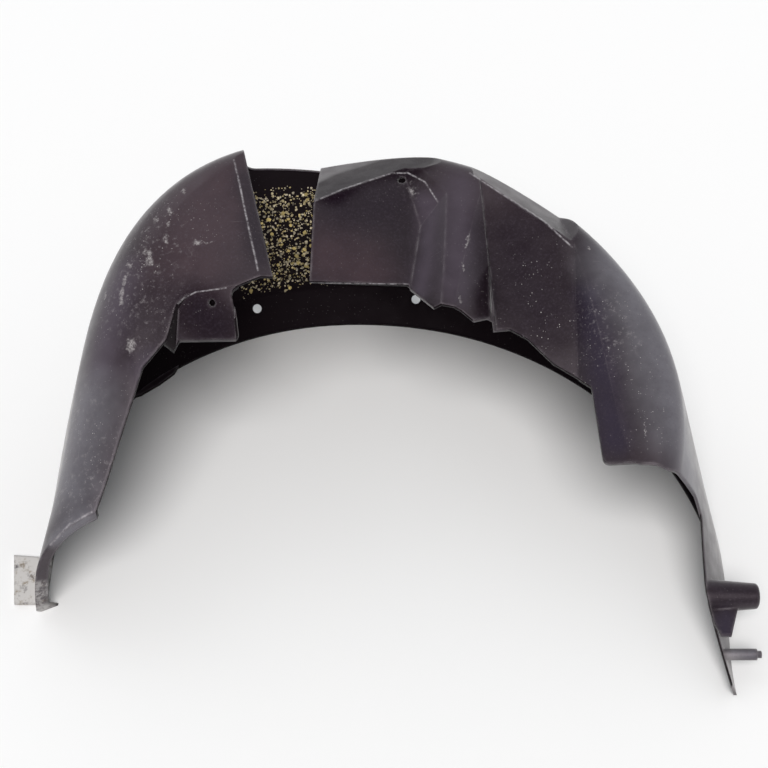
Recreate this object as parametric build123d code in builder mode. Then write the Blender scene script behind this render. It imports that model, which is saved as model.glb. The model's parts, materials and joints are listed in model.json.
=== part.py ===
"""Wheel arch liner, moulded in one piece and lying on its outboard lip.

The wheel's axle is the Z axis while the shell is shaped: the lip lies on z = 0, the crown is at +Y,
and the wall on the inboard side faces up. Angles run from the crown, positive towards +X.
"""
from build123d import *
import os
from math import cos, hypot, radians, sin, tan

os.makedirs("parts", exist_ok=True)

# Driving sizes, in millimetres and degrees
wall = 2.6
band_width = 28.0
band_fall = 2.6
band_least = 2.0
full_height = 236.0
crown_slope = 8.0
left_leg_slope = 20.0
right_leg_slope = 38.0

# Stations round the arch: angle, radius of the lip, radius of the shoulder and its height,
# bend radius of the shoulder, and how far the tread wall bulges
stations = [
    (-112, 318, 254, 100, 60, 4.5),
    (-88, 286, 252, 132, 60, 4.5),
    (-60, 312, 272, 190, 60, 4.5),
    (-38, 328, 325, 240, 45, 3),
    (-19, 331, 340, 258, 30, 2),
    (0, 330, 350, 240, 30, 0.5),
    (25, 330, 340, 226, 25, 5),
    (45, 330, 322, 207, 25, 8),
    (65, 331, 299, 183, 25, 4.5),
    (85, 331, 264, 154, 25, 3),
    (116, 372, 308, 138, 25, 9),
]
core_radius = 60.0
below_lip = 30.0

# Notch at the crown, screw holes of the lip and the small fixing holes
notch_from = 150.0
notch_corner = 18.0
lip_hole_d = 9.5
lip_hole_angles = (-18.6, 9.2)
small_hole_d = 6.0

# Free edge of the wheel opening
edge_r = 3.0
flank_corner_r = 10.0

# Leg ends: rim and tab on the left; boss, gusset and pin on the right
end_rim = 10.0
tab_thickness = 3.0
right_leg_end = -110.0
boss_start = 290.0
boss_root_d = 32.0
boss_taper = 5.0
boss_tip_r = 3.0
boss_reach = 347.0
boss_place = (-36.0, 40.0)
gusset = 3.0
pin_d = 10.0
pin_nose_d = 6.4
pin_nose = 4.0
pin_reach = 346.0
pin_place = (-82.0, 20.0)

# Sizes of cutting blocks, larger than the part
tall = 400.0
far = 500.0


def section_plane(angle):
    """Radial plane of one station: x outwards from the axle, y up."""
    turn = radians(angle)
    return Plane(origin=(0, 0, 0), x_dir=(sin(turn), cos(turn), 0), z_dir=(cos(turn), -sin(turn), 0))


def skin_section(station, inset):
    """Filled section under the skin at one station, drawn smaller by inset."""
    angle, lip, shoulder, height, bend, bulge = station
    fall = 1 - min(height / full_height, 1)
    band = max(band_width * (1 - band_fall * fall), band_least)
    leg_slope = left_leg_slope if angle < 0 else right_leg_slope
    slope = radians(crown_slope + (leg_slope - crown_slope) * fall)
    foot = (lip, 0)
    heel = (lip + band, band)
    ridge = (shoulder, height)
    core_top = (core_radius, height - (shoulder - core_radius) * tan(slope))
    across = shoulder - heel[0]
    up = height - heel[1]
    tread = hypot(across, up)
    middle = ((heel[0] + shoulder) / 2 + up / tread * bulge, (heel[1] + height) / 2 - across / tread * bulge)
    with BuildSketch(section_plane(angle)) as section:
        with BuildLine():
            Polyline(ridge, core_top, (core_radius, -below_lip), (lip - below_lip, -below_lip), foot, heel)
            ThreePointArc(heel, middle, ridge)
        make_face()
        fillet(section.vertices().sort_by_distance(Vector(*ridge))[0], bend)
        if inset:
            offset(amount=-inset, kind=Kind.INTERSECTION, mode=Mode.REPLACE)
    return section.sketch.face()


def plane_through(first, second, third):
    """Plane through three points, with its normal turned up."""
    normal = (Vector(*second) - Vector(*first)).cross(Vector(*third) - Vector(*first))
    return Plane(origin=first, z_dir=normal if normal.Z > 0 else -normal)


def facing(origin, direction):
    """Plane at a point, facing a direction."""
    return Plane(origin=origin, z_dir=direction)


# Flat facets sunk into the inboard wall: each is the space above all of its planes
mid_floor = plane_through((-43, 258, 235), (29, 309, 225), (0, 190, 196))
mid_corner = plane_through((44, 312, 223), (73, 277, 217), (51, 281, 208))
step_floor = plane_through((-148, 159, 215), (-112.4, 158.1, 225.5), (-103, 129, 192))
beside_notch = facing((-48, 184, 0), (1, -0.04, 0))
mid_pocket = [
    mid_floor,
    plane_through((73, 277, 217), (68, 169, 198), (53, 239, 194)),
    mid_corner,
    beside_notch,
]
mid_roof = [
    plane_through((-43, 258, 235), (29, 309, 225), (-16, 345, 202)),
    beside_notch,
]
right_pocket = [
    plane_through((123, 289, 220), (194, 226, 205), (134, 160, 163)),
    facing((116, 213, 205), (1, 0.03, 0.12)),
    plane_through((194, 226, 205), (235, 31, 149), (193, 126, 159)),
]
right_scoop = [
    plane_through((113, 319, 216), (155, 301, 201), (150, 270, 216)),
    facing((105, 290, 200), (1, 0, 0)),
    facing((196, 262, 203), (-0.45, 0.25, 0.85)),
]
rib_facet = [
    plane_through((109, 253, 213), (90, 164, 195), (114, 156, 176)),
    facing((117, 0, 0), (-1, 0, 0)),
]
left_step = [
    step_floor,
    facing((-163, 135, 196), (0.95, -0.4, 0.2)),
    facing((-106, 140, 200), (-1, 0, 0)),
    facing((-152, 156.5, 212), (0.485, -0.873, 0.1)),
]
notch_bend = [
    plane_through((-111, 280, 251.5), (-91, 188, 238), (-85.4, 217.7, 238.3)),
    facing((-140, 200, 250), (1, 0.2, 0)),
    facing((-60, 0, 0), (-1, 0, 0)),
]
facets = [mid_pocket, mid_roof, right_pocket, right_scoop, rib_facet, left_step, notch_bend]


def facet_tool(planes, inset):
    """Space above a facet's planes, each lowered by inset."""
    with BuildPart() as tool:
        with Locations((0, 150, 200)):
            Box(900, 700, tall)
        for plane in planes:
            split(bisect_by=plane.offset(-inset), keep=Keep.TOP)
    return tool.part


def skin_form(inset):
    """Solid under the skin, all round the arch, drawn smaller by inset."""
    with BuildPart() as form:
        loft([skin_section(station, inset) for station in stations])
        for planes in facets:
            add(facet_tool(planes, inset), mode=Mode.SUBTRACT)
    return form.part


outer_form = skin_form(0)
inner_form = skin_form(wall)
rim_core = skin_form(end_rim)

# Free edge of the inboard wall and of the right leg, in plan
free_edge = [
    (-218, -60), (-222, -1), (-214, 20), (-194, 81), (-186, 107), (-157, 136), (-103, 129),
    (-110, 156), (-73, 166), (-46, 181), (44, 203), (66, 163), (90, 161), (101, 157),
    (114, 166), (135, 165), (150, 155), (172, 131), (192, 117), (203, 104), (210, 38),
    (238, 27), (262, 21.5), (293, 31), (300, 23), (299, -40), (317, -104), (317, -400), (-218, -400),
]
flank_corner = (210, 38)
notch_floor = plane_through((-100, 345, 211), (-42, 357, 194), (-100, 200, 211))
notch_corner_at = (-106, 305, 214)
notch_plan = [(-71.5, 155), (-115, 345), (-115, 420), (-37, 420), (-44, 170), (-60, 140)]
left_leg_end = [(-200, 3), (-222, -1), (-248, -10), (-264, -17), (-300, -34), (-400, -36)]
tab_plan = [(-319, 32), (-270, 28), (-270, -20), (-310, -20)]
lip_step_plan = [(-186, 276), (-193, 256), (-207, 241), (-224, 227), (-233, 223), (-260, 240), (-220, 300)]
gusset_plan = [(300, -40), (328, -48), (318, -76), (300, -76)]
small_holes = [((38, 304, 220), mid_corner), ((-127, 151.5, 212.5), step_floor)]


def across_leg(y, z, start):
    """Plane facing +X at the right leg, for its boss and pin."""
    return Plane(origin=(start, y, z), x_dir=(0, 1, 0), z_dir=(1, 0, 0))


def lip_hole_plane(angle):
    """Plane on the middle of the lip's sloping band, facing out of the arch."""
    turn = radians(angle)
    radius = stations[5][1] + 0.7 * band_width
    return Plane(
        origin=(radius * sin(turn), radius * cos(turn), 0.7 * band_width),
        z_dir=(sin(turn), cos(turn), -1),
    )


# Rim turned inwards round the end of the left leg
with BuildPart() as left_rim:
    add(outer_form)
    add(rim_core, mode=Mode.SUBTRACT)
    with BuildSketch(Plane.XY.offset(-tall / 2)):
        with BuildLine():
            Polyline(*left_leg_end, *[(x, y + wall) for x, y in reversed(left_leg_end)], close=True)
        make_face()
    extrude(amount=2 * tall, mode=Mode.INTERSECT)

# Wider stretch of the lip on the left
with BuildPart() as lip_step:
    with BuildSketch():
        with BuildLine():
            Polyline(*lip_step_plan, close=True)
        make_face()
    extrude(amount=wall)
    add(outer_form, mode=Mode.INTERSECT)

with BuildPart() as notch_tool:
    with BuildSketch(Plane.XY.offset(notch_from)):
        with BuildLine():
            Polyline(*notch_plan, close=True)
        make_face()
    extrude(amount=tall)
    split(bisect_by=notch_floor, keep=Keep.TOP)
    fillet(notch_tool.edges().sort_by_distance(notch_corner_at)[0], notch_corner)

with BuildPart() as shell:
    add(outer_form)
    # Bumper boss, locating pin and gusset on the right leg, and the fixing tab of the left leg
    with BuildSketch(across_leg(*boss_place, boss_start)):
        Circle(boss_root_d / 2)
    extrude(amount=boss_reach - boss_start, taper=boss_taper)
    fillet(shell.edges().sort_by(Axis.X)[-1], boss_tip_r)
    with BuildSketch(across_leg(*pin_place, boss_start)):
        Circle(pin_d / 2)
    extrude(amount=pin_reach - pin_nose - boss_start)
    with BuildSketch(across_leg(*pin_place, boss_start)):
        Circle(pin_nose_d / 2)
    extrude(amount=pin_reach - boss_start)
    with BuildSketch(Plane.XY.offset(boss_place[1] - gusset / 2)):
        with BuildLine():
            Polyline(*gusset_plan, close=True)
        make_face()
    extrude(amount=gusset)
    with BuildSketch():
        with BuildLine():
            Polyline(*tab_plan, close=True)
        make_face()
    extrude(amount=tab_thickness)
    add(inner_form, mode=Mode.SUBTRACT)
    with BuildSketch(across_leg(*boss_place, boss_start)):
        Circle(boss_root_d / 2 - wall)
    extrude(amount=boss_reach - wall - boss_start, taper=boss_taper, mode=Mode.SUBTRACT)
    add(left_rim.part)
    add(lip_step.part)
    # Wheel opening, as far as the free edge
    with BuildSketch(Plane.XY.offset(-tall / 2)) as opening:
        with BuildLine():
            Polyline(*free_edge, close=True)
        make_face()
        by_flank = opening.vertices().sort_by_distance(Vector(*flank_corner))
        fillet(by_flank[1:-4], edge_r)
        fillet(opening.vertices().sort_by_distance(Vector(*flank_corner))[0], flank_corner_r)
    extrude(amount=2 * tall, mode=Mode.SUBTRACT)
    add(notch_tool.part, mode=Mode.SUBTRACT)
    # Ends of the legs, and the flat underside of the lip
    with BuildSketch(Plane.XY.offset(-tall / 2)):
        with BuildLine():
            Polyline(*left_leg_end, (-400, -300), (-200, -300), close=True)
        make_face()
    extrude(amount=2 * tall, mode=Mode.SUBTRACT)
    with Locations((far / 2, right_leg_end - tall / 2, 0)):
        Box(far, tall, 2 * tall, mode=Mode.SUBTRACT)
    with Locations((0, 0, -below_lip)):
        Box(4 * far, 4 * far, 2 * below_lip, mode=Mode.SUBTRACT)
    # Screw holes of the lip, and the small fixing holes of the pocket and the step
    for angle in lip_hole_angles:
        with BuildSketch(lip_hole_plane(angle)):
            Circle(lip_hole_d / 2)
        extrude(amount=4 * wall, both=True, mode=Mode.SUBTRACT)
    for place, floor in small_holes:
        with BuildSketch(facing(place, floor.z_dir)):
            Circle(small_hole_d / 2)
        extrude(amount=4 * wall, both=True, mode=Mode.SUBTRACT)

# The finished part stands with its origin at the bottom centre of its box
middle = shell.part.bounding_box().center()
with BuildPart() as arch_liner:
    with Locations((-middle.X, -middle.Y, 0)):
        add(shell.part)

arch_liner.part.label = "arch_liner"
export_step(arch_liner.part, "parts/arch_liner.step")
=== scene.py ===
import json
import math
import random

import bmesh
import bpy
from mathutils import Euler, Matrix, Vector
from mathutils.bvhtree import BVHTree


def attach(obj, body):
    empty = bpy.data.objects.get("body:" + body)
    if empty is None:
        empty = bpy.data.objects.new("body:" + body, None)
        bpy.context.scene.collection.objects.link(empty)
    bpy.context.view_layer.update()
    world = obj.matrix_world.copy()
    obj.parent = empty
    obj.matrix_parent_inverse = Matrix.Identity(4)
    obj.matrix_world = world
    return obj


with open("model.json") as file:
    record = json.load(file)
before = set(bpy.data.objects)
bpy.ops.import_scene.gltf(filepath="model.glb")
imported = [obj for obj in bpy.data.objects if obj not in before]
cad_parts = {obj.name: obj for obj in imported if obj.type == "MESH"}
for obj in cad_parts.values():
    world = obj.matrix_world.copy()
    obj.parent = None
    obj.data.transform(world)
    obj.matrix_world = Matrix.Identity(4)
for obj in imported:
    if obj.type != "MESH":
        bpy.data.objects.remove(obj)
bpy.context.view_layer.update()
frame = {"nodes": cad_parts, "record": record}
liner = frame["nodes"]["arch_liner"]

# The lip's resting point gives the axle's place in the part's frame
LIP_RADIUS = 0.3282
lip_point = next(m["pos_m"] for m in frame["record"]["mounts"] if m["name"] == "lip_rest")
axle = Vector((lip_point[0], lip_point[1] - LIP_RADIUS, 0))

# Camera at the photograph's viewing angle, for a 768 by 768 picture
PICTURE = 768
CAMERA_ELEVATION = math.radians(49)
CAMERA_DISTANCE = 1.444
CAMERA_LENS = 66.28
SENSOR = 36.0
AIM_FROM_AXLE = Vector((0.02194, 0.24344, 0))
camera_target = axle + AIM_FROM_AXLE
towards_camera = Vector((0, -math.cos(CAMERA_ELEVATION), math.sin(CAMERA_ELEVATION)))
camera_place = camera_target + CAMERA_DISTANCE * towards_camera

# Places on the plastic, as pixels of the photograph that lie on them
LEFT_PANEL = [(218, 185), (190, 255)]
PANEL_CORNER = [(165, 300), (150, 320)]
PANEL_SIDE = [(150, 240), (130, 300)]
PANEL_RIM = [(150, 235), (128, 290)]
LEFT_SHOULDER = [(122, 280), (106, 335), (100, 370)]
LEFT_LEG = [(102, 410), (95, 460), (78, 515)]
LEG_MIDDLE = [(98, 450), (92, 490)]
LEG_FOOT = [(95, 470), (85, 500)]
LEFT_EDGE = [(84, 400), (75, 440), (66, 485)]
LEG_FOLD = [(86, 519), (56, 540)]
NOTCH_STRIP = [(247, 180), (262, 255)]
MID_PANEL_TOP = [(345, 212), (395, 202)]
MID_PANEL_FOOT = [(328, 258), (362, 270)]
ROOF = [(325, 190), (350, 178), (385, 167), (412, 163)]
ROOF_CORNER = [(409, 183), (414, 188)]
MID_WALL = [(428, 205), (428, 250), (421, 288)]
RIB = [(458, 185), (462, 235), (456, 285)]
RIGHT_POCKET = [(515, 240), (525, 280), (545, 310)]
POCKET_FOOT = [(535, 290), (550, 335)]
FLANK = [(590, 295), (598, 345), (607, 390), (614, 440)]
FLANK_TOP = [(608, 315), (616, 335)]
FLANK_RIM = [(610, 330), (640, 400)]
RIGHT_SHOULDER = [(617, 265), (648, 318), (668, 375), (682, 435), (690, 472)]
FLANGE_FACET = [(146, 364), (142, 370)]
STEP = [(200, 312), (215, 325)]
BOSS = [(725, 597), (745, 597)]
GUSSET = [(728, 620), (727, 632)]
PIN = [(735, 654), (752, 655)]
LEG_TIP = [(727, 668), (732, 686)]
TAB = [(18, 575), (26, 585)]
LEG_END = [(38, 590), (37, 602)]

# Colours of the plastic and of what lies on it, and of painted shade, painted highlights and painted
# reflections
BLACK = (0.0120, 0.0075, 0.0105, 1)
HAZE = (0.026, 0.0175, 0.0215, 1)
# Painted shade: darker black on faces turned from the light, in recesses and on the roof
PAINTED_SHADE_BLACK = (0.006, 0.002, 0.006, 1)
# Painted shade with a painted bluish sky reflection
PAINTED_SHADE_AND_SKY = (0.015, 0.010, 0.024, 1)
# Painted shade on the inside of the tread and of the lip
INSIDE_PAINTED_SHADE = (0.010, 0.0065, 0.0085, 1)
# Lighter brown, on the left panel and the foot of the middle panel
LIGHTER_BROWN = (0.038, 0.021, 0.026, 1)
# Lighter grey: random mottle, and painted light on the left shoulder, the middle pocket's wall and the rib
PLUM_GREY = (0.058, 0.045, 0.062, 1)
# Pale grey: dust, and painted highlights and reflections on the left edge, the leg's fold and the right
# shoulder
DUST_AND_HIGHLIGHT_GREY = (0.130, 0.127, 0.144, 1)
DUST = (0.42, 0.40, 0.40, 1)
PALE_DUST = (0.56, 0.54, 0.53, 1)
# Scratches, and edges worn pale with painted highlights
WORN_AND_HIGHLIGHT = (0.20, 0.18, 0.195, 1)
# Painted highlights along creases and rims
PAINTED_HIGHLIGHT = (0.42, 0.40, 0.42, 1)
DRIED_DIRT = (0.57, 0.555, 0.54, 1)
CLAY = (0.30, 0.26, 0.21, 1)
GLOSS_TINT = (1.0, 0.88, 0.96, 1)

# Areas of another colour, in the order in which they are laid on: colour, place, radius in metres, share
TINTED_AREAS = [
    (LIGHTER_BROWN, LEFT_PANEL, 0.085, 1.0),
    # Painted shade in the corner of the left panel
    (PAINTED_SHADE_BLACK, PANEL_CORNER, 0.05, 0.45),
    # Painted highlight on the grazing left shoulder
    (PLUM_GREY, LEFT_SHOULDER, 0.035, 0.9),
    (DUST_AND_HIGHLIGHT_GREY, LEFT_LEG, 0.05, 0.45),
    # Painted highlights on the grazing left edge and on the leg's fold
    (DUST_AND_HIGHLIGHT_GREY, LEFT_EDGE, 0.045, 0.9),
    (DUST_AND_HIGHLIGHT_GREY, LEG_FOLD, 0.016, 1.0),
    # Painted shade on the notch strip and the top of the middle panel
    (PAINTED_SHADE_BLACK, NOTCH_STRIP, 0.022, 1.0),
    (PAINTED_SHADE_BLACK, MID_PANEL_TOP, 0.045, 1.0),
    (LIGHTER_BROWN, MID_PANEL_FOOT, 0.055, 1.0),
    # Painted shade on the roof
    (PAINTED_SHADE_BLACK, ROOF, 0.04, 0.6),
    # Painted light on the middle pocket's wall and the rib, which face the light
    (PLUM_GREY, MID_WALL, 0.022, 1.0),
    (PLUM_GREY, RIB, 0.03, 0.8),
    # Painted shade in the right pocket
    (PAINTED_SHADE_BLACK, RIGHT_POCKET, 0.06, 1.0),
    # Painted shade with a painted bluish sky reflection on the flank
    (PAINTED_SHADE_AND_SKY, FLANK, 0.026, 1.0),
    # Dust and a painted reflection on the right shoulder
    (DUST_AND_HIGHLIGHT_GREY, RIGHT_SHOULDER, 0.052, 1.0),
    # Painted shade with a painted bluish sky reflection on a flange facet
    (PAINTED_SHADE_AND_SKY, FLANGE_FACET, 0.022, 0.8),
    # Painted shade on the step and the boss
    (PAINTED_SHADE_BLACK, STEP, 0.04, 1.0),
    (PAINTED_SHADE_BLACK, BOSS, 0.03, 1.0),
    # Painted shade with a painted bluish sky reflection on the gusset
    (PAINTED_SHADE_AND_SKY, GUSSET, 0.016, 1.0),
    (DUST_AND_HIGHLIGHT_GREY, PIN, 0.014, 1.0),
    (DUST, LEG_TIP, 0.024, 0.6),
]

# Areas with dust or with clearer specks: place and radius. Dull areas have a share too
DUSTY_AREAS = [
    (LEG_FOOT, 0.06), (LEFT_EDGE, 0.04), (PANEL_SIDE, 0.06), (ROOF_CORNER, 0.016), (FLANK_TOP, 0.045),
]
SPECKLED_AREAS = [(POCKET_FOOT, 0.07), (FLANK_RIM, 0.06), (PANEL_RIM, 0.08), (LEG_MIDDLE, 0.07)]
DULL_AREAS = [(ROOF, 0.040, 1.0), (STEP, 0.040, 0.6), (RIGHT_POCKET, 0.075, 0.5)]

# Scuffs are short ragged blobs, and painted highlight lines run along creases and rims: way and radius
SCUFFS = [
    ([(183, 190), (184, 193)], 0.0026), ([(169, 209), (170, 213)], 0.0030),
    ([(154, 219), (157, 221)], 0.0026), ([(168, 223), (168, 226)], 0.0022),
    ([(166, 237), (166, 241)], 0.0028), ([(145, 251), (150, 254)], 0.0034),
    ([(149, 258), (150, 263)], 0.0038), ([(128, 264), (130, 266)], 0.0030),
    ([(125, 278), (124, 283)], 0.0034), ([(122, 291), (121, 303)], 0.0036),
    ([(106, 293), (105, 298)], 0.0026), ([(131, 342), (131, 348)], 0.0050),
    ([(195, 243), (199, 243)], 0.0036), ([(199, 243), (213, 242)], 0.0012),
    ([(468, 236), (467, 248)], 0.0022), ([(463, 264), (463, 269)], 0.0016),
    ([(460, 296), (460, 302)], 0.0018), ([(645, 420), (645, 435)], 0.0012),
    ([(588, 247), (590, 249)], 0.0022), ([(411, 190), (414, 194)], 0.0026),
]
PAINTED_HIGHLIGHT_LINES = [
    ([(234, 160), (240, 186), (249.5, 232), (258, 270)], 0.0014),
    ([(315, 201), (343, 189), (392, 173), (408, 173), (425, 182), (438, 202)], 0.0012),
    ([(312, 283), (406, 284)], 0.0010),
    ([(178, 304), (184, 298), (196, 292), (226, 288)], 0.0011),
    ([(470, 173), (505, 196), (544, 221), (572, 247)], 0.0013),
    ([(92, 512), (70, 524), (50, 545)], 0.0016),
]

# How far a painted highlight line may curve away from its straight segment, and the share over which its ends
# fade
LINE_CURVE = 0.012
LINE_FADE = 0.04

# Ragged outlines of the tinted areas and of the scuffs: scale of the noise and how far it moves them
TINT_RAGGED = (40.0, 0.006)
SCUFF_RAGGED = (330.0, 0.0042)

# Patterns that break marks up: scale, detail and roughness of a noise, and the bounds between which it rises
HAZE_PATTERN = (7.0, 4.0, 0.55, 0.38, 0.68)
PATCH_PATTERN = (60.0, 5.0, 0.55, 0.3, 0.7)
MOTTLE_PATTERN = (420.0, 4.0, 0.75, 0.45, 0.75)
SCRATCH_PATTERN = (18.0, 3.0, 0.55, 0.5, 0.75)
FINE_SPECK_PATTERN = (30.0, 3.0, 0.55, 0.40, 0.60)
COARSE_SPECK_PATTERN = (22.0, 3.0, 0.55, 0.45, 0.65)
DUST_PATTERN = (210.0, 5.0, 0.7, 0.52, 0.74)
LINE_PATTERN = (260.0, 4.0, 0.7, 0.36, 0.64)
SCUFF_PATTERN = (520.0, 3.0, 0.6, 0.34, 0.62)
EDGE_PATTERN = (90.0, 4.0, 0.55, 0.36, 0.68)
TAB_DIRT_PATTERN = (110.0, 5.0, 0.65, 0.26, 0.46)
LEG_DIRT_PATTERN = (240.0, 4.0, 0.55, 0.4, 0.6)
CLAY_PATTERN = (170.0, 5.0, 0.7, 0.5, 0.68)

# Scratches run two ways: scale and turn of a stretched noise, and the bounds between which it rises
SCRATCH_WAYS = [
    ((30, 700, 60), (0.2, 0.1, 0.5), 0.70, 0.76),
    ((800, 36, 60), (0.1, 0.3, -0.3), 0.71, 0.77),
]

# Specks: cells in a metre, largest size in cells and share of the cells that hold one
FINE_SPECKS = (560.0, 0.22, 0.30)
COARSE_SPECKS = (270.0, 0.10, 0.14)
SPECK_RIM = 0.05

# How clearly specks show everywhere, and how much more in the speckled areas
SPECKS_EVERYWHERE = 0.15
SPECKS_IN_AREAS = 0.8

# How strongly patches and marks show, each as its lowest and highest share or as one share
PATCH_SHARES = (0.8, 1.0)
MOTTLE_SHARES = (0.0, 0.34)
LINE_SHARES = (0.1, 1.0)
SCUFF_SHARES = (0.2, 1.0)
EDGE_SHARES = (0.08, 0.8)
LEG_DIRT_SHARES = (0.1, 0.5)
SCRATCH_SHARE = 0.16
FILM_SHARE = 0.32
LINE_SHARE = 0.8
SCUFF_SHARE = 0.75
FILM_MARK = 0.6

# Where the inside with its painted shade, the worn edges with painted highlights and dirt lie: radii, heights
# over the floor, bounds of a dot product
EDGE_RADIUS = 0.004
EDGE_TURNS = (0.80, 0.985)
LIP_HEIGHTS = (0.03, 0.05)
LIP_TURNS = (0.3, 0.5)
TREAD_TURNS = (0.82, 0.94)
TAB_DIRT_RADIUS = 0.045
TAB_DIRT_HEIGHTS = (0.004, 0.016)
LEG_DIRT_RADIUS = 0.018

# Finish of the plastic: roughness, gloss, sheen and bumps with their strength and depth
SATIN = (0.30, 0.42)
MARK_ROUGHNESS = 0.4
GLOSS = 0.5
DULL_GLOSS = 0.02
SHEEN = 0.3
SHEEN_ROUGHNESS = 0.32
WAVE_SCALE = 28.0
WAVE_BUMP = (0.10, 0.004)
GRAIN_SCALE = 1500.0
GRAIN_BUMP = (0.10, 0.0003)
MARK_BUMP = (0.35, 0.0006)

# Grit stuck inside the tread wall, seen through the notch: its area in degrees from the crown and in height
GRIT_ANGLES = (-21.0, -5.5)
GRIT_HEIGHTS = (0.030, 0.186)
GRIT_FADE = 0.02
GRIT_STONES = 1900
GRIT_SIZES = (0.00045, 0.0016)
GRIT_SIZE_POWER = 2.2
GRIT_BIG = 0.0021
GRIT_BIG_SHARE = 0.03
GRIT_SEED = 7

# Distance from the axle at which the search for the tread wall starts, inside it
INSIDE_TREAD = 0.30

# Shape of a stone: turns in radians, stretch along three ways, jitter of its corners, lift out of the wall
STONE_TURNS = (0, 6.28)
STONE_STRETCH = (0.7, 1.35)
STONE_JITTER = (0.8, 1.2)
STONE_CORNERS = 12
STONE_LIFT = 0.25

# Colour of a stone: its darkest tone and the range above it, and green and blue with what a warm stone lacks
STONE_DARKEST = 0.60
STONE_RANGE = 0.38
STONE_GREEN = (0.95, 0.05)
STONE_BLUE = (0.84, 0.26)
STONE_STAIN = (0.24, 0.20, 0.15, 1)
STONE_PATTERN = (2600.0, 2.0, 0.55, 0.35, 0.65)
STONE_STAIN_SHARES = (0.0, 0.25)
STONE_ROUGHNESS = 0.85
STONE_GRAIN = (1900.0, 3.0)
STONE_BUMP = (0.5, 0.0004)

# Pale floor, a hair below the part
FLOOR_REACH = 40.0
FLOOR_GAP = 0.0004
FLOOR_WHITE = (0.93, 0.93, 0.93, 1)
FLOOR_COOL = (0.925, 0.93, 0.935, 1)
FLOOR_CLOUDS = (3.0, 2.0)
FLOOR_ROUGHNESS = 0.7
FLOOR_GLOSS = 0.2

# Room light with its darker side, and two soft lamps: source, level, colour and angle in degrees
ROOM_LIGHT = (0.955, 0.98, 1.0, 1)
ROOM_LEVELS = (0.34, 0.72)
ROOM_DARK_SIDE = (0.0, -0.656, 0.755)
ROOM_FADE = (0.75, -0.1)
FRONT_LAMP = ((-0.06, -0.55, 0.85), 2.2, (1.0, 0.975, 0.955), 36)
WINDOW_LAMP = ((-0.75, 0.75, 1.0), 0.2, (0.95, 0.985, 1.0), 34)

liner_tree = BVHTree.FromObject(liner, bpy.context.evaluated_depsgraph_get())


def add_camera():
    """Camera of the photograph."""
    data = bpy.data.cameras.new("photo_camera")
    data.lens = CAMERA_LENS
    data.sensor_width = SENSOR
    camera = bpy.data.objects.new("photo_camera", data)
    camera.location = camera_place
    camera.rotation_euler = (camera_target - camera_place).to_track_quat("-Z", "Y").to_euler()
    bpy.context.scene.collection.objects.link(camera)
    bpy.context.scene.camera = camera


def pixel_ray(u, v):
    """Direction from the camera through a pixel of the photograph."""
    forward = (camera_target - camera_place).normalized()
    right = Vector((1, 0, 0))
    up = right.cross(forward)
    focal = CAMERA_LENS / SENSOR * PICTURE
    return (forward * focal + right * (u - PICTURE / 2) - up * (v - PICTURE / 2)).normalized()


def on_liner(u, v):
    """Point of the liner that a pixel of the photograph shows."""
    return liner_tree.ray_cast(camera_place, pixel_ray(u, v))[0]


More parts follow.
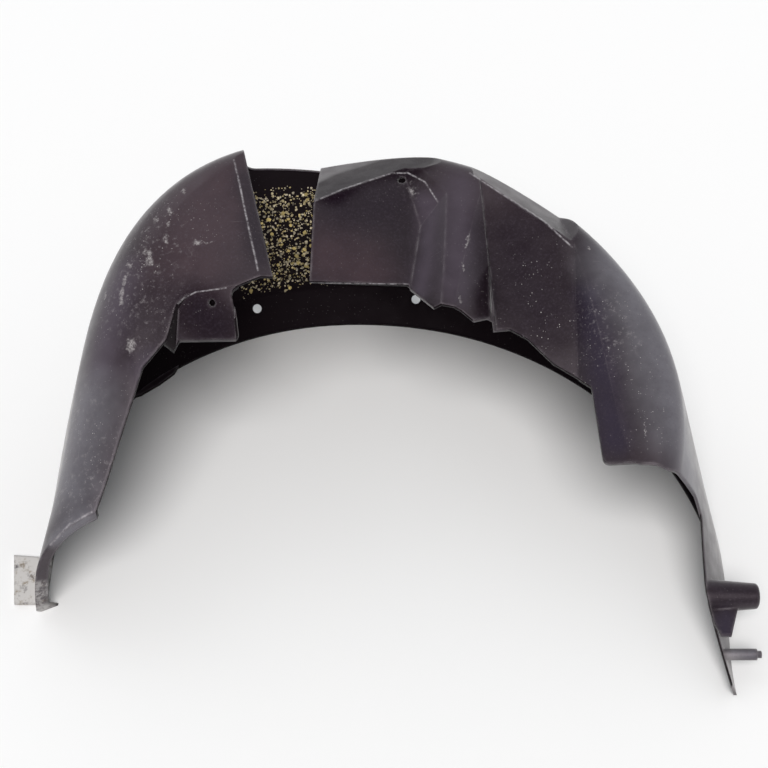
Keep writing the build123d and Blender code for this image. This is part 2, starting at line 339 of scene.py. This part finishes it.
class Shading:
    """Node tree of one material, with short calls for the nodes that it needs."""

    def __init__(self, name):
        self.material = bpy.data.materials.new(name)
        self.material.use_nodes = True
        self.tree = self.material.node_tree
        self.bsdf = self.tree.nodes["Principled BSDF"]
        self.where = self.node("ShaderNodeTexCoord").outputs["Object"]
        self.ragged = self.where

    def node(self, kind, **settings):
        """New node with the given settings."""
        made = self.tree.nodes.new(kind)
        for key, value in settings.items():
            setattr(made, key, value)
        return made

    def put(self, socket, value):
        """Links a socket's output to an input, or sets the input to a plain value."""
        if isinstance(value, bpy.types.NodeSocket):
            self.tree.links.new(value, socket)
        else:
            socket.default_value = value

    def math(self, operation, first, second=0.0, clamp=False):
        """Result of an operation on two numbers."""
        made = self.node("ShaderNodeMath", operation=operation, use_clamp=clamp)
        self.put(made.inputs[0], first)
        self.put(made.inputs[1], second)
        return made.outputs[0]

    def times(self, first, second):
        """Product of two numbers."""
        return self.math("MULTIPLY", first, second)

    def most(self, values):
        """Highest of several numbers."""
        total = values[0]
        for value in values[1:]:
            total = self.math("MAXIMUM", total, value)
        return total

    def vectors(self, operation, first, second):
        """Result of an operation on two vectors: a number for a dot product or distance, else a vector."""
        made = self.node("ShaderNodeVectorMath", operation=operation)
        self.put(made.inputs[0], first)
        self.put(made.inputs[1], second)
        return made.outputs["Value" if operation in ("DOT_PRODUCT", "DISTANCE") else "Vector"]

    def height(self):
        """Height over the floor."""
        made = self.node("ShaderNodeSeparateXYZ")
        self.put(made.inputs[0], self.where)
        return made.outputs["Z"]

    def ramp(self, value, low, high, out_low=0.0, out_high=1.0):
        """Smooth step from one output to the other, between a low and a high value."""
        made = self.node("ShaderNodeMapRange", interpolation_type="SMOOTHSTEP")
        for socket, amount in zip(made.inputs[:5], (value, low, high, out_low, out_high)):
            self.put(socket, amount)
        return made.outputs[0]

    def mix(self, factor, first, second):
        """Mix of two colours."""
        made = self.node("ShaderNodeMix", data_type="RGBA")
        self.put(made.inputs[0], factor)
        self.put(made.inputs[6], first)
        self.put(made.inputs[7], second)
        return made.outputs[2]

    def bump(self, height, strength, depth, normal=None):
        """Normal with a bump, laid over another normal where one is given."""
        made = self.node("ShaderNodeBump")
        made.inputs["Strength"].default_value = strength
        made.inputs["Distance"].default_value = depth
        self.put(made.inputs["Height"], height)
        if normal:
            self.put(made.inputs["Normal"], normal)
        return made.outputs[0]

    def stretched(self, scale, turn):
        """Place on the object, turned and stretched."""
        made = self.node("ShaderNodeMapping")
        self.put(made.inputs["Vector"], self.where)
        made.inputs["Scale"].default_value = scale
        made.inputs["Rotation"].default_value = turn
        return made.outputs[0]

    def noise(self, scale, detail, rough=0.55, vector=None):
        """Noise of a given scale, at the place on the object or at another vector."""
        made = self.node("ShaderNodeTexNoise")
        self.put(made.inputs["Vector"], vector or self.where)
        made.inputs["Scale"].default_value = scale
        made.inputs["Detail"].default_value = detail
        made.inputs["Roughness"].default_value = rough
        return made.outputs["Fac"]

    def pattern(self, values, shares=(0.0, 1.0)):
        """Irregular patches from one of the named patterns, between two shares."""
        scale, detail, rough, low, high = values
        return self.ramp(self.noise(scale, detail, rough), low, high, *shares)

    def specks(self, scale, size, share):
        """Round dots: a share of the cells holds one, of up to the given size in cells."""
        cells = self.node("ShaderNodeTexVoronoi")
        self.put(cells.inputs["Vector"], self.where)
        cells.inputs["Scale"].default_value = scale
        parts = self.node("ShaderNodeSeparateColor")
        self.put(parts.inputs[0], cells.outputs["Color"])
        held = self.math("LESS_THAN", parts.outputs[0], share)
        grown = self.times(parts.outputs[1], size)
        outside = self.math("SUBTRACT", cells.outputs["Distance"], grown)
        return self.times(self.ramp(outside, 0.0, SPECK_RIM, 1.0, 0.0), held)

    def make_ragged(self, scale, reach):
        """Gives the ways that follow ragged outlines."""
        field = self.node("ShaderNodeTexNoise")
        self.put(field.inputs["Vector"], self.where)
        field.inputs["Scale"].default_value = scale
        field.inputs["Detail"].default_value = 2.0
        moved = self.node("ShaderNodeVectorMath", operation="MULTIPLY_ADD")
        self.put(moved.inputs[0], field.outputs["Color"])
        moved.inputs[1].default_value = (2 * reach,) * 3
        self.put(moved.inputs[2], self.vectors("SUBTRACT", self.where, (reach,) * 3))
        self.ragged = moved.outputs[0]

    def make_smooth(self):
        """Gives the ways that follow smooth outlines again."""
        self.ragged = self.where

    def from_line(self, start, end):
        """Distance from the straight line between two places, and the share of the line passed."""
        along = end - start
        back = self.vectors("SUBTRACT", self.ragged, start)
        share = self.vectors("DOT_PRODUCT", back, along / along.length_squared)
        held = self.math("MAXIMUM", self.math("MINIMUM", share, 1.0), 0.0)
        foot = self.node("ShaderNodeVectorMath", operation="SCALE")
        foot.inputs[0].default_value = along
        self.put(foot.inputs["Scale"], held)
        return self.vectors("DISTANCE", back, foot.outputs[0]), share

    def way(self, pixels, radius):
        """Area along a way of the photograph's pixels on the liner: 1 on it, 0 from the radius on."""
        places = [on_liner(*pixel) for pixel in pixels]
        pairs = zip(places, places[1:])
        return self.most([self.ramp(self.from_line(*pair)[0], 0.0, radius, 1.0, 0.0) for pair in pairs])

    def thin_way(self, pixels, radius):
        """Thin line along a way of the photograph's pixels, which follows the liner's curve."""
        lines = []
        for start, end in zip(pixels, pixels[1:]):
            first = on_liner(*start)
            across = pixel_ray(*start).cross(pixel_ray(*end)).normalized()
            aside = self.vectors("DOT_PRODUCT", self.vectors("SUBTRACT", self.where, first), across)
            thin = self.ramp(self.math("ABSOLUTE", aside), 0.0, radius, 1.0, 0.0)
            distance, share = self.from_line(first, on_liner(*end))
            near = self.ramp(distance, LINE_CURVE / 2, LINE_CURVE, 1.0, 0.0)
            from_middle = self.math("ABSOLUTE", self.math("SUBTRACT", share, 0.5))
            between = self.ramp(from_middle, 0.5, 0.5 + LINE_FADE, 1.0, 0.0)
            lines.append(self.times(self.times(thin, near), between))
        return self.most(lines)


def tinted(s):
    """Hazy black, with areas of other colours, among them painted shade, painted highlights and painted
    reflections.
    """
    colour = s.mix(s.pattern(HAZE_PATTERN), BLACK, HAZE)
    patchy = s.pattern(PATCH_PATTERN, PATCH_SHARES)
    s.make_ragged(*TINT_RAGGED)
    for tint, place, radius, share in TINTED_AREAS:
        area = s.times(s.way(place, radius), share)
        colour = s.mix(s.times(area, patchy), colour, tint)
    s.make_smooth()
    return s.mix(s.pattern(MOTTLE_PATTERN, MOTTLE_SHARES), colour, PLUM_GREY)


def inside_faces(s, normal):
    """The inside of the tread, and of the lip near the floor: their normals turn to the axle."""
    inward = s.vectors("MULTIPLY", s.vectors("SUBTRACT", axle, s.where), (1, 1, 0))
    unit = s.node("ShaderNodeVectorMath", operation="NORMALIZE")
    s.put(unit.inputs[0], inward)
    turned = s.vectors("DOT_PRODUCT", unit.outputs[0], normal)
    lip = s.times(s.ramp(s.height(), *LIP_HEIGHTS, 1.0, 0.0), s.ramp(turned, *LIP_TURNS))
    return s.most([s.ramp(turned, *TREAD_TURNS), lip])


def scratches(s):
    """Thin scratches that run two ways."""
    lines = []
    for scale, turn, low, high in SCRATCH_WAYS:
        lines.append(s.ramp(s.noise(1.0, 2.0, vector=s.stretched(scale, turn)), low, high))
    return s.times(s.most(lines), s.pattern(SCRATCH_PATTERN))


def fine_specks(s):
    """Fine specks all over, clearer in some areas."""
    areas = s.most([s.way(place, radius) for place, radius in SPECKLED_AREAS])
    fine = s.times(s.specks(*FINE_SPECKS), s.pattern(FINE_SPECK_PATTERN))
    coarse = s.times(s.specks(*COARSE_SPECKS), s.pattern(COARSE_SPECK_PATTERN))
    clear = s.math("ADD", s.times(areas, SPECKS_IN_AREAS), SPECKS_EVERYWHERE)
    return s.times(s.most([fine, coarse]), clear)


def dust_film(s):
    """Patchy film of dust in the dusty areas."""
    film = s.most([s.way(place, radius) for place, radius in DUSTY_AREAS])
    return s.times(film, s.pattern(DUST_PATTERN))


def painted_highlight_lines(s):
    """Broken painted highlights along creases and rims."""
    painted_lines = s.most([s.thin_way(place, radius) for place, radius in PAINTED_HIGHLIGHT_LINES])
    return s.times(painted_lines, s.pattern(LINE_PATTERN, LINE_SHARES))


def scuffs(s):
    """Ragged pale scuffs."""
    s.make_ragged(*SCUFF_RAGGED)
    scuff = s.most([s.way(place, radius) for place, radius in SCUFFS])
    s.make_smooth()
    return s.times(scuff, s.pattern(SCUFF_PATTERN, SCUFF_SHARES))


def edge_wear_and_highlight(s, rounded, normal):
    """Edges worn pale with painted highlights: the rounded normal leaves the flat one there."""
    same = s.vectors("DOT_PRODUCT", rounded, normal)
    return s.times(s.ramp(same, *EDGE_TURNS, 1.0, 0.0), s.pattern(EDGE_PATTERN, EDGE_SHARES))


def dried_dirt(s):
    """Dirt on the fixing tab and the end of the leg."""
    tab = s.ramp(s.way(TAB, TAB_DIRT_RADIUS), 0.0, 0.3)
    tab = s.times(tab, s.ramp(s.height(), *TAB_DIRT_HEIGHTS, 1.0, 0.0))
    tab = s.times(tab, s.pattern(TAB_DIRT_PATTERN))
    end = s.ramp(s.way(LEG_END, LEG_DIRT_RADIUS), 0.0, 0.5)
    end = s.times(end, s.pattern(LEG_DIRT_PATTERN, LEG_DIRT_SHARES))
    return s.most([tab, end])


def plastic_material():
    """Black moulded plastic with haze, dust, specks, scuffs, worn edges and dried dirt on the tab, and
    painted shade, painted highlights and painted reflections.
    """
    s = Shading("worn_black_plastic")
    normal = s.node("ShaderNodeNewGeometry").outputs["Normal"]
    bevel = s.node("ShaderNodeBevel", samples=4)
    bevel.inputs["Radius"].default_value = EDGE_RADIUS
    rounded = bevel.outputs[0]

    inside = inside_faces(s, normal)
    scratch = scratches(s)
    speck = fine_specks(s)
    film = dust_film(s)
    scuff = scuffs(s)
    dirt = dried_dirt(s)
    edge = s.times(edge_wear_and_highlight(s, rounded, normal), s.math("SUBTRACT", 1.0, inside))

    # Painted shade on the inside of the tread and of the lip
    colour = s.mix(inside, tinted(s), INSIDE_PAINTED_SHADE)
    colour = s.mix(s.times(scratch, SCRATCH_SHARE), colour, WORN_AND_HIGHLIGHT)
    colour = s.mix(speck, colour, PALE_DUST)
    colour = s.mix(s.times(film, FILM_SHARE), colour, DUST)
    # Painted highlights along creases and rims
    colour = s.mix(s.times(painted_highlight_lines(s), LINE_SHARE), colour, PAINTED_HIGHLIGHT)
    colour = s.mix(s.times(scuff, SCUFF_SHARE), colour, DUST)
    # Edges worn pale, with painted highlights
    colour = s.mix(edge, colour, WORN_AND_HIGHLIGHT)
    clay = s.mix(s.pattern(CLAY_PATTERN), DRIED_DIRT, CLAY)
    s.put(s.bsdf.inputs["Base Color"], s.mix(dirt, colour, clay))

    marks = s.most([dirt, scuff, s.times(film, FILM_MARK), speck])
    satin = s.pattern(PATCH_PATTERN, SATIN)
    roughness = s.math("ADD", satin, s.times(marks, MARK_ROUGHNESS), clamp=True)
    s.put(s.bsdf.inputs["Roughness"], roughness)
    dull = s.most([s.ramp(s.way(place, radius), 0.0, 0.6, 0.0, share) for place, radius, share in DULL_AREAS])
    gloss = s.ramp(s.most([inside, dull]), 0.0, 1.0, GLOSS, DULL_GLOSS)
    s.put(s.bsdf.inputs["Specular IOR Level"], gloss)
    s.bsdf.inputs["Specular Tint"].default_value = GLOSS_TINT
    s.bsdf.inputs["Sheen Weight"].default_value = SHEEN
    s.bsdf.inputs["Sheen Roughness"].default_value = SHEEN_ROUGHNESS

    waves = s.bump(s.noise(WAVE_SCALE, 2.0), *WAVE_BUMP, rounded)
    grain = s.bump(s.noise(GRAIN_SCALE, 2.0), *GRAIN_BUMP, waves)
    s.put(s.bsdf.inputs["Normal"], s.bump(s.math("ADD", marks, scratch), *MARK_BUMP, grain))
    return s.material


def on_tread(angle, height):
    """Point and normal on the inside of the tread wall."""
    turn = math.radians(angle)
    outwards = Vector((math.sin(turn), math.cos(turn), 0))
    start = axle + Vector((0, 0, height)) + outwards * INSIDE_TREAD
    return liner_tree.ray_cast(start, outwards)[:2]


def stone_colour(tone, warm):
    """Colour of a stone from its tone and its warmth."""
    bright = STONE_DARKEST + STONE_RANGE * tone
    green = bright * (STONE_GREEN[0] - STONE_GREEN[1] * warm)
    blue = bright * (STONE_BLUE[0] - STONE_BLUE[1] * warm)
    return (bright, green, blue, 1)


def road_grit():
    """Many small angular stones, each partly sunk in the tread wall."""
    draw = random.Random(GRIT_SEED)
    mesh = bmesh.new()
    shade = mesh.loops.layers.color.new("tone")
    for _ in range(GRIT_STONES):
        angle = draw.uniform(*GRIT_ANGLES)
        height = draw.uniform(*GRIT_HEIGHTS)
        size = GRIT_SIZES[0] + (GRIT_SIZES[1] - GRIT_SIZES[0]) * draw.random() ** GRIT_SIZE_POWER
        tone = draw.random()
        warm = draw.random() ** 2
        if draw.random() < GRIT_BIG_SHARE:
            size = GRIT_BIG
            warm = 1.0
        turn = Euler([draw.uniform(*STONE_TURNS) for _ in range(3)]).to_matrix().to_4x4()
        stretch = Matrix.Diagonal([draw.uniform(*STONE_STRETCH) for _ in range(3)] + [1])
        jitter = [draw.uniform(*STONE_JITTER) for _ in range(STONE_CORNERS)]
        fade = min(GRIT_HEIGHTS[1] - height, height - GRIT_HEIGHTS[0]) / GRIT_FADE
        if draw.random() > fade:
            continue
        place, normal = on_tread(angle, height)
        if place is None:
            continue
        lift = Matrix.Translation(place + normal * size * STONE_LIFT)
        shape = lift @ turn @ stretch
        made = bmesh.ops.create_icosphere(mesh, subdivisions=1, radius=size, matrix=shape)
        for vert, amount in zip(made["verts"], jitter):
            vert.co = place + (vert.co - place) * amount
        colour = stone_colour(tone, warm)
        for face in {f for vert in made["verts"] for f in vert.link_faces}:
            for loop in face.loops:
                loop[shade] = colour
    data = bpy.data.meshes.new("road_grit")
    mesh.to_mesh(data)
    mesh.free()
    grit = bpy.data.objects.new("road_grit", data)
    bpy.context.scene.collection.objects.link(grit)
    data.materials.append(grit_material())
    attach(grit, "root")


def grit_material():
    """Pale stone in each stone's own tone, with darker stains."""
    s = Shading("road_grit")
    tone = s.node("ShaderNodeVertexColor", layer_name="tone")
    stain = s.pattern(STONE_PATTERN, STONE_STAIN_SHARES)
    s.put(s.bsdf.inputs["Base Color"], s.mix(stain, tone.outputs[0], STONE_STAIN))
    s.bsdf.inputs["Roughness"].default_value = STONE_ROUGHNESS
    s.put(s.bsdf.inputs["Normal"], s.bump(s.noise(*STONE_GRAIN), *STONE_BUMP))
    return s.material


def add_floor():
    """Wide pale floor."""
    mesh = bmesh.new()
    bmesh.ops.create_grid(mesh, x_segments=1, y_segments=1, size=FLOOR_REACH)
    data = bpy.data.meshes.new("floor")
    mesh.to_mesh(data)
    mesh.free()
    floor = bpy.data.objects.new("floor", data)
    floor.location.z = -FLOOR_GAP
    bpy.context.scene.collection.objects.link(floor)
    s = Shading("floor_white")
    s.put(s.bsdf.inputs["Base Color"], s.mix(s.noise(*FLOOR_CLOUDS), FLOOR_WHITE, FLOOR_COOL))
    s.bsdf.inputs["Roughness"].default_value = FLOOR_ROUGHNESS
    s.bsdf.inputs["Specular IOR Level"].default_value = FLOOR_GLOSS
    data.materials.append(s.material)


def add_lamp(name, source, level, colour, angle):
    """Sun lamp that shines from a direction, softer with a larger angle."""
    data = bpy.data.lights.new(name, "SUN")
    data.energy = level
    data.angle = math.radians(angle)
    data.color = colour
    lamp = bpy.data.objects.new(name, data)
    lamp.rotation_euler = (-Vector(source)).to_track_quat("-Z", "Y").to_euler()
    bpy.context.scene.collection.objects.link(lamp)


def add_light():
    """Soft room light, brighter at the back and sides, a soft lamp in front and a weak window behind."""
    world = bpy.data.worlds.new("room")
    bpy.context.scene.world = world
    world.use_nodes = True
    tree = world.node_tree
    sky = tree.nodes["Background"]
    where = tree.nodes.new("ShaderNodeTexCoord")
    facing = tree.nodes.new("ShaderNodeVectorMath")
    facing.operation = "DOT_PRODUCT"
    tree.links.new(where.outputs["Generated"], facing.inputs[0])
    facing.inputs[1].default_value = ROOM_DARK_SIDE
    fade = tree.nodes.new("ShaderNodeMapRange")
    fade.interpolation_type = "SMOOTHSTEP"
    tree.links.new(facing.outputs["Value"], fade.inputs["Value"])
    for socket, amount in zip(fade.inputs[1:5], (*ROOM_FADE, *ROOM_LEVELS)):
        socket.default_value = amount
    tree.links.new(fade.outputs[0], sky.inputs["Strength"])
    sky.inputs["Color"].default_value = ROOM_LIGHT
    add_lamp("front", *FRONT_LAMP)
    add_lamp("window", *WINDOW_LAMP)


add_camera()
add_floor()
add_light()
liner.data.materials.clear()
liner.data.materials.append(plastic_material())
road_grit()
bpy.context.scene.view_settings.view_transform = "Standard"
